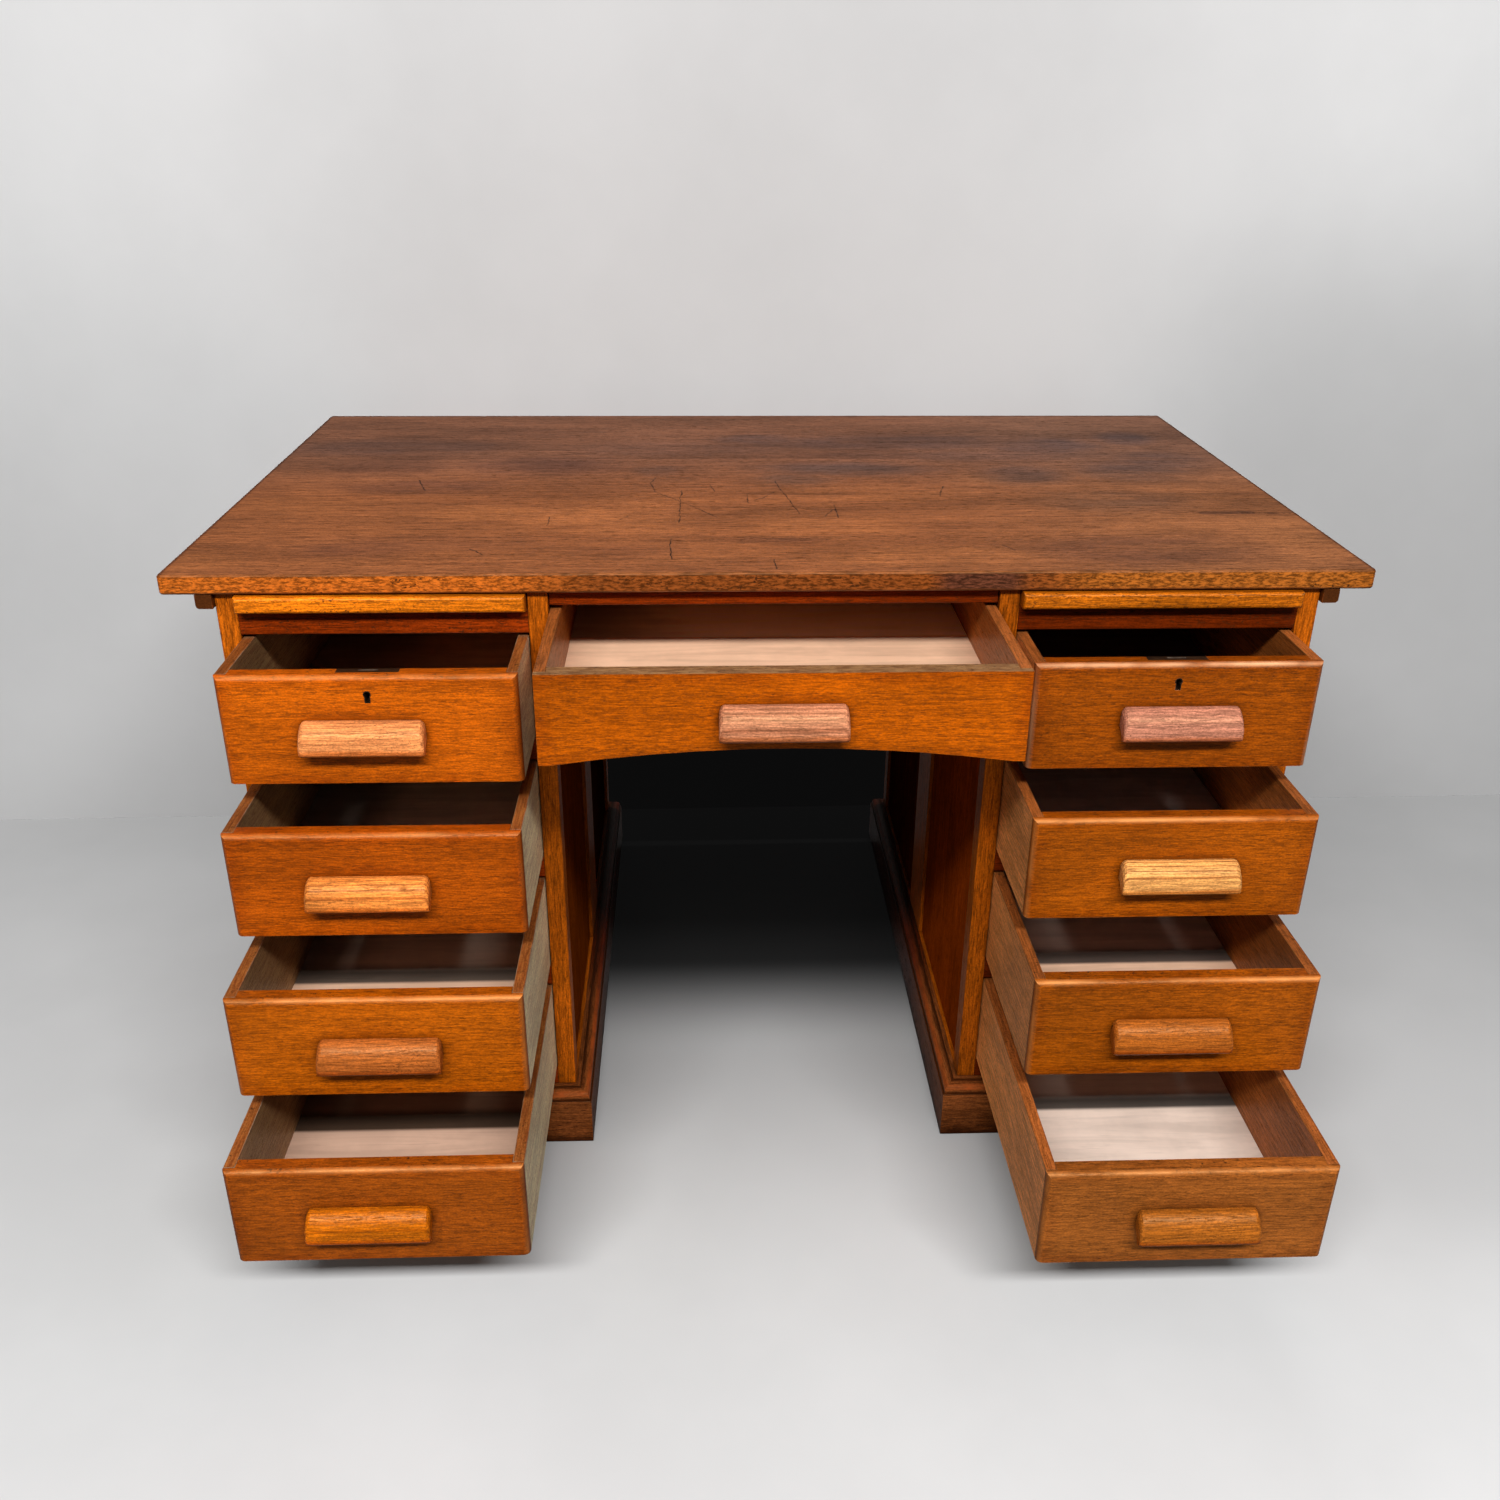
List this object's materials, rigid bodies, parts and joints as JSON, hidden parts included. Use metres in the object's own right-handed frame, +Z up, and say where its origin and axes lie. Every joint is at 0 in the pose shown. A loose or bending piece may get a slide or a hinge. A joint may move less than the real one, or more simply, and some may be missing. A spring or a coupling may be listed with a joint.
{
  "type": "pedestal desk",
  "caption": "Wooden kneehole desk with two drawer pedestals, an arched centre drawer, pull-out writing slides, scooped wooden pulls and moulded plinths.",
  "frame": {"origin": "on the floor, under the middle of the box round the desk with its drawers as found", "axes": "+X to the right of a person who sits at the desk, +Y to its back, +Z up"},
  "size_m": [1.3, 1.1437, 0.76],
  "materials": {
    "desktop": "worn satin varnish",
    "carcass_wood": "satin varnish",
    "panel_wood": "satin varnish",
    "front_wood": "satin varnish",
    "drawer_wood": "thinly varnished",
    "floor_ply": "bare",
    "pull_wood": "satin varnish",
    "slide_wood": "satin varnish",
    "runner_wood": "bare",
    "lock_iron": "dark, dull",
    "bolt_steel": "worn"
  },
  "bodies": {
    "carcass": {"desktop_planks": "desktop", "top_battens": "carcass_wood", "centre_top_rail": "carcass_wood", "centre_back_rail": "carcass_wood", "centre_drawer_runners": "runner_wood", "left_pedestal_frame": "carcass_wood", "left_pedestal_panels": "panel_wood", "left_front_rails": "carcass_wood", "left_drawer_runners": "runner_wood", "left_plinth": "carcass_wood", "right_pedestal_frame": "carcass_wood", "right_pedestal_panels": "panel_wood", "right_front_rails": "carcass_wood", "right_drawer_runners": "runner_wood", "right_plinth": "carcass_wood"},
    "left_top_drawer": {"left_top_drawer_front": "front_wood", "left_top_drawer_box": "drawer_wood", "left_top_drawer_floor": "floor_ply", "left_top_drawer_pull": "pull_wood", "left_drawer_lock": "lock_iron"},
    "left_upper_drawer": {"left_upper_drawer_front": "front_wood", "left_upper_drawer_box": "drawer_wood", "left_upper_drawer_floor": "floor_ply", "left_upper_drawer_pull": "pull_wood"},
    "left_lower_drawer": {"left_lower_drawer_front": "front_wood", "left_lower_drawer_box": "drawer_wood", "left_lower_drawer_floor": "floor_ply", "left_lower_drawer_pull": "pull_wood"},
    "left_bottom_drawer": {"left_bottom_drawer_front": "front_wood", "left_bottom_drawer_box": "drawer_wood", "left_bottom_drawer_floor": "floor_ply", "left_bottom_drawer_pull": "pull_wood"},
    "left_lock_bolt": {"left_lock_bolt": "bolt_steel"},
    "left_writing_slide": {"left_slide_board": "slide_wood", "left_slide_lipping": "slide_wood"},
    "right_top_drawer": {"right_top_drawer_front": "front_wood", "right_top_drawer_box": "drawer_wood", "right_top_drawer_floor": "floor_ply", "right_top_drawer_pull": "pull_wood", "right_drawer_lock": "lock_iron"},
    "right_upper_drawer": {"right_upper_drawer_front": "front_wood", "right_upper_drawer_box": "drawer_wood", "right_upper_drawer_floor": "floor_ply", "right_upper_drawer_pull": "pull_wood"},
    "right_lower_drawer": {"right_lower_drawer_front": "front_wood", "right_lower_drawer_box": "drawer_wood", "right_lower_drawer_floor": "floor_ply", "right_lower_drawer_pull": "pull_wood"},
    "right_bottom_drawer": {"right_bottom_drawer_front": "front_wood", "right_bottom_drawer_box": "drawer_wood", "right_bottom_drawer_floor": "floor_ply", "right_bottom_drawer_pull": "pull_wood"},
    "right_lock_bolt": {"right_lock_bolt": "bolt_steel"},
    "right_writing_slide": {"right_slide_board": "slide_wood", "right_slide_lipping": "slide_wood"},
    "centre_drawer": {"centre_drawer_front": "front_wood", "centre_drawer_box": "drawer_wood", "centre_drawer_floor": "floor_ply", "centre_drawer_pull": "pull_wood"}
  },
  "joints": [
    {"name": "left_top_drawer_slide", "type": "slide", "parent": "carcass", "child": "left_top_drawer", "axis": [0, -1, 0], "range_m": [-0.09888, 0.38112]},
    {"name": "left_upper_drawer_slide", "type": "slide", "parent": "carcass", "child": "left_upper_drawer", "axis": [0, -1, 0], "range_m": [-0.15264, 0.32736]},
    {"name": "left_lower_drawer_slide", "type": "slide", "parent": "carcass", "child": "left_lower_drawer", "axis": [0, -1, 0], "range_m": [-0.22368, 0.25632]},
    {"name": "left_bottom_drawer_slide", "type": "slide", "parent": "carcass", "child": "left_bottom_drawer", "axis": [0, -1, 0], "range_m": [-0.30384, 0.17616]},
    {"name": "left_bolt_throw", "type": "slide", "parent": "left_top_drawer", "child": "left_lock_bolt", "axis": [0, 0, 1], "range_m": [0, 0.009]},
    {"name": "left_writing_slide_run", "type": "slide", "parent": "carcass", "child": "left_writing_slide", "axis": [0, -1, 0], "range_m": [0, 0.3]},
    {"name": "right_top_drawer_slide", "type": "slide", "parent": "carcass", "child": "right_top_drawer", "axis": [0, -1, 0], "range_m": [-0.08112, 0.39888]},
    {"name": "right_upper_drawer_slide", "type": "slide", "parent": "carcass", "child": "right_upper_drawer", "axis": [0, -1, 0], "range_m": [-0.13872, 0.34128]},
    {"name": "right_lower_drawer_slide", "type": "slide", "parent": "carcass", "child": "right_lower_drawer", "axis": [0, -1, 0], "range_m": [-0.21264, 0.26736]},
    {"name": "right_bottom_drawer_slide", "type": "slide", "parent": "carcass", "child": "right_bottom_drawer", "axis": [0, -1, 0], "range_m": [-0.3312, 0.1488]},
    {"name": "right_bolt_throw", "type": "slide", "parent": "right_top_drawer", "child": "right_lock_bolt", "axis": [0, 0, 1], "range_m": [0, 0.009]},
    {"name": "right_writing_slide_run", "type": "slide", "parent": "carcass", "child": "right_writing_slide", "axis": [0, -1, 0], "range_m": [0, 0.3]},
    {"name": "centre_drawer_slide", "type": "slide", "parent": "carcass", "child": "centre_drawer", "axis": [0, -1, 0], "range_m": [-0.17898, 0.20102]}
  ]
}
